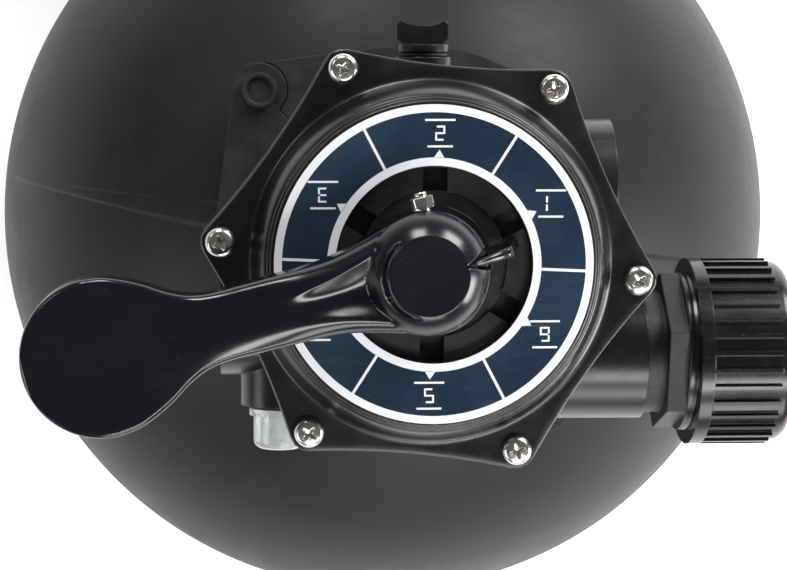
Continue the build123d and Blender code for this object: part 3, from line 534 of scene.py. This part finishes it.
def pivot_hardware():
    """The pivot's bolt and nut: turned profiles on the pivot axis, the nut's radius swelling at six corners."""
    axis = np.array([-math.sin(arm_bearing), math.cos(arm_bearing), 0.0])
    side = np.array([math.cos(arm_bearing), math.sin(arm_bearing), 0.0])
    turn = np.linspace(0, 2 * np.pi, 72, endpoint=False)

    def on_axis(profile, corners):
        profile = np.asarray(profile, float)
        local = (turn + 0.3) % (math.pi / 3) - math.pi / 6
        swell = 1 / np.cos(local) if corners else np.ones_like(turn)
        limit = 4.55
        radius = np.minimum(profile[:, 0][:, None] * swell, np.where(profile[:, 0][:, None] > 3.9, limit, 9))
        along = profile[:, 1][:, None] * np.ones_like(turn)
        point = (along[..., None] * axis + (radius * np.cos(turn))[..., None] * side
                 + (radius * np.sin(turn))[..., None] * np.array([0, 0, 1.0]))
        return (point + (0, 0, PIVOT_Z)) * MM

    bolt = [(0, -30.9), (2.1, -30.9), (2.5, -30.4), (2.5, -29.6), (2.3, -29.3), (2.5, -29.0), (2.5, 18.6), (4.4, 18.7),
            (4.4, 21.6), (4.0, 22.3), (0, 22.3)]
    nut = [(2.45, -29.2), (3.6, -29.2), (4.0, -28.9), (4.0, -25.4), (3.6, -25.1), (5.3, -25.0), (5.3, -24.6),
           (2.45, -24.6), (2.45, -29.2)]
    bolt_piece = add_piece("pivot_bolt_fine", on_axis(bolt, False), grid_faces(len(bolt), 72), head_finish, "stem")
    nut_piece = add_piece("pivot_nut_fine", on_axis(nut, True), grid_faces(len(nut), 72), head_finish, "stem")
    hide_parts("pivot_bolt")
    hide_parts("pivot_nut")


# ---- Label print ----
def slab_outline(points, low, high):
    """A flat convex outline given some thickness: its points at two heights, and how many points each height has."""
    points = np.asarray(points, float)
    count = len(points)
    both = np.concatenate([np.column_stack([points, np.full(count, z)]) for z in (low, high)])
    return both, count


def dial_marks():
    """The white print: two rings, six dividers, six arrows, and for each position a plain numeral made of bars with
    two short rules, all thin slabs lying on the film."""
    low, high = label_high[2] - 0.02 * MM, label_high[2] + 0.06 * MM
    points, faces, start = [], [], 0
    for inner, outer in ((39.35, 42.6), (60.4, 63.55)):
        profile = np.array([(inner * MM, low), (outer * MM, low), (outer * MM, high), (inner * MM, high)])
        block = turned(profile, 240).reshape(-1, 3)
        points.append(block)
        faces += (grid_faces(4, 240, close_rows=True) + start).tolist()
        start += len(block)

    def add_flat(outline):
        nonlocal start
        block, count = slab_outline(outline, low, high)
        points.append(block)
        ring = np.arange(count)
        following = (ring + 1) % count
        sides = np.stack([ring, following, following + count, ring + count], axis=-1) + start
        faces.extend(sides.tolist())
        faces.append((ring[::-1] + start).tolist())
        faces.append((ring + count + start).tolist())
        start += len(block)

    def turned_to(bearing, local):
        c, s = math.cos(bearing), math.sin(bearing)
        return np.asarray(local, float) @ np.array([[c, s], [-s, c]]) * MM

    def bar(centre_x, centre_y, width, height):
        across, up = width / 2, height / 2
        corners = [(-across, -up), (across, -up), (across, up), (-across, up)]
        return (np.array(corners) + (centre_x, centre_y)) * -1

    segments = {
        "a": (0, 2.6, 2.6, 0.75), "g": (0, 0, 2.6, 0.75), "d": (0, -2.6, 2.6, 0.75),
        "b": (1.6, 1.3, 0.75, 3.3), "c": (1.6, -1.3, 0.75, 3.3),
        "e": (-1.6, -1.3, 0.75, 3.3), "f": (-1.6, 1.3, 0.75, 3.3),
    }
    strokes = ("bc", "abged", "abgcd", "fgbc", "afgcd", "afgedc")
    for k in range(6):
        divider = math.radians(57.6 + 60 * k)
        add_flat(turned_to(divider, [(42.5, -0.55), (60.5, -0.55), (60.5, 0.55), (42.5, 0.55)]))
        arrow = math.radians(27.8 + 60 * k)
        add_flat(turned_to(arrow, [(42.4, -2.2), (45.7, 0), (42.4, 2.2)]))
        middle = np.array([math.cos(arrow), math.sin(arrow)]) * 52.2
        for stroke in strokes[k]:
            add_flat((bar(*segments[stroke]) + middle) * MM)
        for offset, width in ((5.2, 10.0), (-5.2, 12.0)):
            add_flat((bar(0, offset, width, 0.8) + middle) * MM)
    mesh = bpy.data.meshes.new("dial_marks")
    mesh.from_pydata(np.concatenate(points).tolist(), [], faces)
    piece = bpy.data.objects.new("dial_marks", mesh)
    bpy.context.collection.objects.link(piece)
    mesh.materials.append(ink_finish)
    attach(piece, "tank")


# ---- Handle ----
HUB_AT, HUB_R = 4.0, 24.0
DISC_R, BALL_AT, BALL_R = 15.4, 5.2, 26.0
HUB_TOP = 599.6
PADDLE_AT, PADDLE_R = 134.5, 31.0
TIP_AT = 165.5
OUTLINE_AT = (4, 10, 16, 23, 31, 40, 50, 65, 75, 86, 92, 98, 104, 111, 119, 126, 134.5)
OUTLINE_HALF = (24, 23, 21.4, 19.3, 17, 15, 14, 13.8, 13.6, 13.5, 14, 15.6, 18.5, 23, 27.1, 29.8, 31)


def half_width(u):
    """The handle's half width: the hub's circle, a neck through measured widths, and the paddle's circle."""
    hub = np.sqrt(np.clip(HUB_R ** 2 - (u - HUB_AT) ** 2, 0, None))
    paddle = np.sqrt(np.clip(PADDLE_R ** 2 - (u - PADDLE_AT) ** 2, 0, None))
    neck = smooth_through(u, OUTLINE_AT, OUTLINE_HALF)
    return np.where(u <= HUB_AT, hub, np.where(u >= PADDLE_AT, paddle, neck))


def handle_heights(u, v, w):
    """The top of the handle. The hub is a ball cut level by a disc: outside the disc the height falls as the ball's
    circle. The arm is a smooth curve along its length, less a dish between two crests, a fall towards its flanks
    and a quarter circle at its rim. The larger of hub and arm is kept, with the crease rounded."""
    from_hub = np.hypot(u - HUB_AT, v)
    from_ball = np.hypot(u - BALL_AT, v)
    ball_drop = math.sqrt(BALL_R ** 2 - DISC_R ** 2) - np.sqrt(
        np.clip(BALL_R ** 2 - np.maximum(from_ball, DISC_R) ** 2, 0, None))
    dome = HUB_TOP - ball_drop - 0.3 * (1 - np.clip(from_ball / DISC_R, 0, 1) ** 2)
    dome = dome - 3 * np.clip(from_hub - HUB_R - 0.3, 0, None)
    arm = smooth_through(u, (-25, 10, 30, 60, 100, 134, 166), (590, 592.5, 592.5, 591.5, 589.8, 589.2, 588.2))
    crest = smooth_through(u, (0, 20, 30, 39, 50, 60, 68, 90), (18, 14.5, 11, 8.4, 6.2, 4.6, 3.6, 3.2))
    dish = 4.8 * ease(66 - u, 0, 34) * np.clip(1 - (v / crest) ** 2, 0, None) ** 1.4
    flank_drop = smooth_through(u, (-25, 20, 45, 70, 95, 120, 166), (6, 6, 5, 3.2, 1.6, 0.5, 0.3))
    flank = flank_drop * np.clip((np.abs(v) - crest) / np.maximum(w - crest, 1), 0, 1) ** 2
    arm = arm - dish - flank
    rim = 2.4
    past_rim = np.clip((np.abs(v) - (w - rim)) / rim, 0, 1)
    arm = arm - rim * (1 - np.sqrt(np.clip(1 - past_rim ** 2, 0, None))) * ease(u, 10, 24)
    end = np.clip((u - (TIP_AT - rim)) / rim, 0, 1)
    arm = arm - rim * (1 - np.sqrt(np.clip(1 - end ** 2, 0, None)))
    top = blend_max(dome, np.where(u < 2, 560, arm), 2.0)
    bearing_gap = np.arctan2(v, u - HUB_AT)
    groove = np.exp(-((from_ball - DISC_R - 1.6) / 0.6) ** 2) * (1 - ease(np.abs(bearing_gap), 0.75, 1.15))
    top = top - 1.5 * groove
    along = HUB_AT - u
    slot_half = np.clip((along - 12.5) * 0.42, 0, 4.4)
    slot = ease(slot_half - np.abs(v), 0, 0.8) * (along > 12.5)
    return top - 4.5 * slot


def handle_body():
    """The lever: for each station along the arm, points run across the top between the two half widths and back
    across the underside. The underside steps up over the stem's hollow and inside the arm's walls."""
    front = HUB_AT - HUB_R * np.cos(np.linspace(0, np.pi / 2, 60))
    neck = np.linspace(HUB_AT, 156, 270)[1:]
    back = 156 + 9.5 * np.sin(np.linspace(0, np.pi / 2, 34))[1:]
    u = np.concatenate([front, neck, back])[:, None]
    across = np.sin(np.linspace(-np.pi / 2, np.pi / 2, 119))[None, :]
    w = half_width(u)
    v = w * across
    u_all, w_all = np.broadcast_to(u, v.shape), np.broadcast_to(w, v.shape)
    top = handle_heights(u_all, v, w_all)
    from_axis, from_hub = np.hypot(u_all, v), np.hypot(u_all - HUB_AT, v)
    inside_wall = ease(w_all - np.abs(v), 3.0, 4.2) * ease(u_all, 29, 31) * (1 - ease(u_all, 160, 162))
    under = 573 + (top - 4.2 - 573) * inside_wall * (np.abs(v) > 1.5)
    skirt = 1 - ease(from_hub, HUB_R + 0.1, HUB_R + 0.7)
    under = under * (1 - skirt) + 558.8 * skirt
    hollow = 1 - ease(from_axis, 18.2, 18.8)
    under = under * (1 - hollow) + 594.2 * hollow
    under = np.minimum(under, top - 0.8)
    loop_v = np.concatenate([v, v[:, ::-1]], axis=1)
    loop_z = np.concatenate([top, under[:, ::-1]], axis=1)
    loop_u = np.broadcast_to(u, loop_v.shape)
    c, s = math.cos(arm_bearing), math.sin(arm_bearing)
    points = np.stack([loop_u * c - loop_v * s, loop_u * s + loop_v * c, loop_z], axis=-1) * MM
    body = add_piece("handle_body", points, grid_faces(len(u), loop_v.shape[1]), handle_finish, "handle",
                     50)
    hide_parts("handle")


def handle_pointer():
    """The pointer: a rib whose half width and height are smooth curves of the distance from the axis, with a round
    back (a half circle squashed to the rib's height) and a tooth that reaches down at its tip. Its underside steps
    up near the axis, so it stays clear of the stem as the handle tilts."""
    out = np.concatenate([np.linspace(9.5, 29.4, 40), np.linspace(29.9, 33.6, 12), [34.1, 34.4]])
    half = smooth_through(out, (9, 16, 24, 30, 35), (0.5, 1.2, 1.9, 2.1, 2.0))
    top = smooth_through(out, (9, 14, 20, 27, 29.5, 31.5, 33, 34.5), (597.5, 596.5, 592, 586.5, 583, 571, 565.5, 563))
    bottom = np.where(out < 29.6, 562.6, 558.2)
    bottom = np.where(out < 19.2, np.minimum(595.0, top - 2.2), bottom)
    half = np.where(out > 33.9, half * 0.6, half)
    turn = np.linspace(0, np.pi, 15)
    v = half[:, None] * np.cos(turn)
    z = top[:, None] - 1.6 * (1 - np.sin(turn))
    v = np.concatenate([v, -half[:, None], half[:, None]], axis=1)
    z = np.concatenate([z, bottom[:, None], bottom[:, None]], axis=1)
    middle_v, middle_z = np.zeros_like(v[:1]), z.mean(axis=1)
    v = np.concatenate([middle_v, v, middle_v])
    z = np.concatenate([np.full_like(z[:1], middle_z[0]), z, np.full_like(z[:1], middle_z[-1])])
    u = -np.concatenate([out[:1], out, out[-1:]])[:, None] * np.ones_like(v)
    c, s = math.cos(arm_bearing), math.sin(arm_bearing)
    points = np.stack([u * c - v * s, u * s + v * c, z], axis=-1) * MM
    add_piece("handle_pointer", points, grid_faces(len(u), v.shape[1]), handle_finish, "handle", 50)


# ---- Union thread ----
def adaptor_thread():
    """The union's male thread: a ring of points whose radius rises and falls as a sawtooth of the distance along the
    axis plus the turn, so the crests run round as a helix. It fades out at both ends and closes on the inside."""
    start, end, pitch = adaptor_high[0] - 22.5 * MM, adaptor_high[0] - 0.6 * MM, 3.2 * MM
    turn = np.linspace(0, 2 * np.pi, 120, endpoint=False)[None, :]
    along = np.linspace(start, end, 110)[:, None]
    phase = (along / pitch + turn / (2 * np.pi)) % 1
    fade = ease(along, start, start + 2 * MM) * (1 - ease(along, end - 2 * MM, end))
    radius = 33.52 * MM + 0.42 * MM * fade * (1 - np.abs(2 * phase - 1))
    inner = np.full((1, 120), 32.6 * MM)
    radius = np.concatenate([inner, radius, inner])
    x = np.concatenate([along[:1], along, along[-1:]]) * np.ones_like(radius)
    points = np.stack([x, pump_axis_y + radius * np.cos(turn), port_z + radius * np.sin(turn)], axis=-1)
    add_piece("adaptor_thread", points, grid_faces(len(x), 120, close_rows=True), union_finish, "tank",
              50)


# ---- Room, light and camera ----
def soft_light(name, place, aim, width, height, power):
    """A rectangular area light at a place, turned to face a point."""
    data = bpy.data.lights.new(name, "AREA")
    data.shape = "RECTANGLE"
    data.size, data.size_y, data.energy = width, height, power
    light = bpy.data.objects.new(name, data)
    bpy.context.collection.objects.link(light)
    light.location = place
    light.rotation_euler = (Vector(aim) - Vector(place)).to_track_quat("-Z", "Y").to_euler()


def room():
    bpy.ops.mesh.primitive_plane_add(size=14, location=(0, 0, 0))
    floor = bpy.context.object
    floor.name = "floor"
    material, nodes, links, shader, coords = new_material("floor_finish")
    cloud = noise(nodes, links, coords, 3.0)
    links.new(mix_colours(nodes, links, cloud, (0.90, 0.90, 0.90), (0.93, 0.93, 0.93)), shader.inputs["Base Color"])
    shader.inputs["Roughness"].default_value = 0.9
    floor.data.materials.append(material)
    world = bpy.context.scene.world or bpy.data.worlds.new("world")
    bpy.context.scene.world = world
    world.use_nodes = True
    background = world.node_tree.nodes["Background"]
    background.inputs["Color"].default_value = (0.95, 0.97, 1.0, 1)
    background.inputs["Strength"].default_value = 0.11
    target = (0, 0, 0.5)
    soft_light("light_right", (1.6, -0.62, 0.95), target, 1.0, 0.9, 40)
    soft_light("light_back_right", (1.0, 1.25, 1.0), target, 0.75, 0.75, 26)
    soft_light("light_back", (-0.3, 1.6, 1.05), target, 0.5, 0.6, 14)
    soft_light("light_left", (-1.9, -0.9, 1.3), target, 1.2, 1.0, 16)
    soft_light("light_front", (0.3, -2.1, 1.2), target, 1.2, 0.8, 18)
    soft_light("light_strip", (0.5, -1.45, 2.3), target, 1.5, 0.5, 30)
    for name, place in (("floor_light_a", (-2.4, 1.8, 2.2)), ("floor_light_b", (2.4, 1.9, 2.2)),
                        ("floor_light_c", (2.2, -2.3, 2.2)), ("floor_light_d", (-2.2, -2.4, 2.2))):
        soft_light(name, place, (place[0] * 0.6, place[1] * 0.6, 0), 1.0, 1.0, 12)


def camera():
    data = bpy.data.cameras.new("camera")
    data.sensor_width = 36
    data.lens = 102.31
    data.clip_start = 0.05
    view = bpy.data.objects.new("camera", data)
    bpy.context.collection.objects.link(view)
    view.location = (-0.0775755, 0.0780945, 1.4411471)
    view.rotation_euler = (-0.0974, -0.0694, 0.0024)
    bpy.context.scene.camera = view


finish_frame_nodes()
tank_skin()
drain_boss()
lid_plate()
screw_heads()
pivot_hardware()
dial_marks()
handle_body()
handle_pointer()
adaptor_thread()
room()
camera()
bpy.context.scene.view_settings.view_transform = "Standard"
